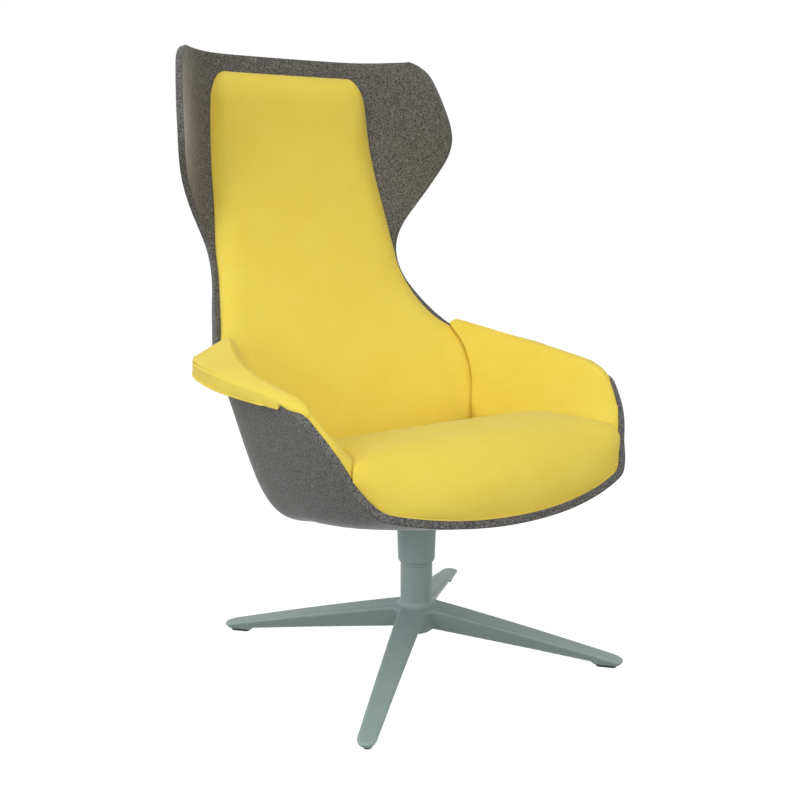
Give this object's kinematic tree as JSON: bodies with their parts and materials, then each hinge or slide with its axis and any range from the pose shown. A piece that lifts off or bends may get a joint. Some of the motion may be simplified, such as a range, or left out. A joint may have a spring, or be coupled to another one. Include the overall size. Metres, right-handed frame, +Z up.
{
  "type": "lounge chair",
  "caption": "High back lounge chair: a moulded felt shell with side wings and arms, fitted back, arm and seat cushions, on a swivelling column with a star base.",
  "frame": {"origin": "on the floor under the axis of the swivel column", "axes": "+Z up along the column, the sitter faces -Y, and the sitter's left arm is at +X"},
  "size_m": [0.6862, 0.8238, 1.095],
  "materials": {
    "felt": "pressed grey felt",
    "upholstery": "woven yellow wool cloth",
    "foam": "moulded foam",
    "powder_coat": "satin grey-green powder coat",
    "steel": "zinc plated",
    "black_plastic": "fine moulded grain",
    "plywood": "raw birch plywood"
  },
  "bodies": {
    "base": {"star_base": "powder_coat", "glide_front_left": "black_plastic", "glide_front_right": "black_plastic", "glide_rear_left": "black_plastic", "glide_rear_right": "black_plastic", "glide_pins": "steel", "bearing_tube": "steel", "lower_bush": "black_plastic", "upper_bush": "black_plastic", "thrust_washer": "black_plastic", "base_plug": "black_plastic"},
    "seat": {"spindle": "steel", "spindle_hub": "steel", "spindle_collar": "powder_coat", "retaining_washer": "steel", "retaining_ring": "steel", "column_sleeve": "powder_coat", "mounting_plate": "steel", "plate_spacers": "black_plastic", "plate_washers": "steel", "plate_bolts": "steel", "tee_nuts": "steel", "felt_shell": "felt", "seat_board": "plywood", "seat_foam": "foam", "seat_cover": "upholstery", "back_board": "black_plastic", "back_fixing_pads": "black_plastic", "back_foam": "foam", "back_cover": "upholstery", "left_arm_board": "black_plastic", "left_arm_fixing_pads": "black_plastic", "left_arm_foam": "foam", "left_arm_cover": "upholstery", "right_arm_board": "black_plastic", "right_arm_fixing_pads": "black_plastic", "right_arm_foam": "foam", "right_arm_cover": "upholstery"}
  },
  "joints": [
    {"name": "seat_swivel", "type": "hinge", "parent": "base", "child": "seat", "pos_m": [0, 0, 0.166], "axis": [0, 0, 1], "continuous": true}
  ]
}
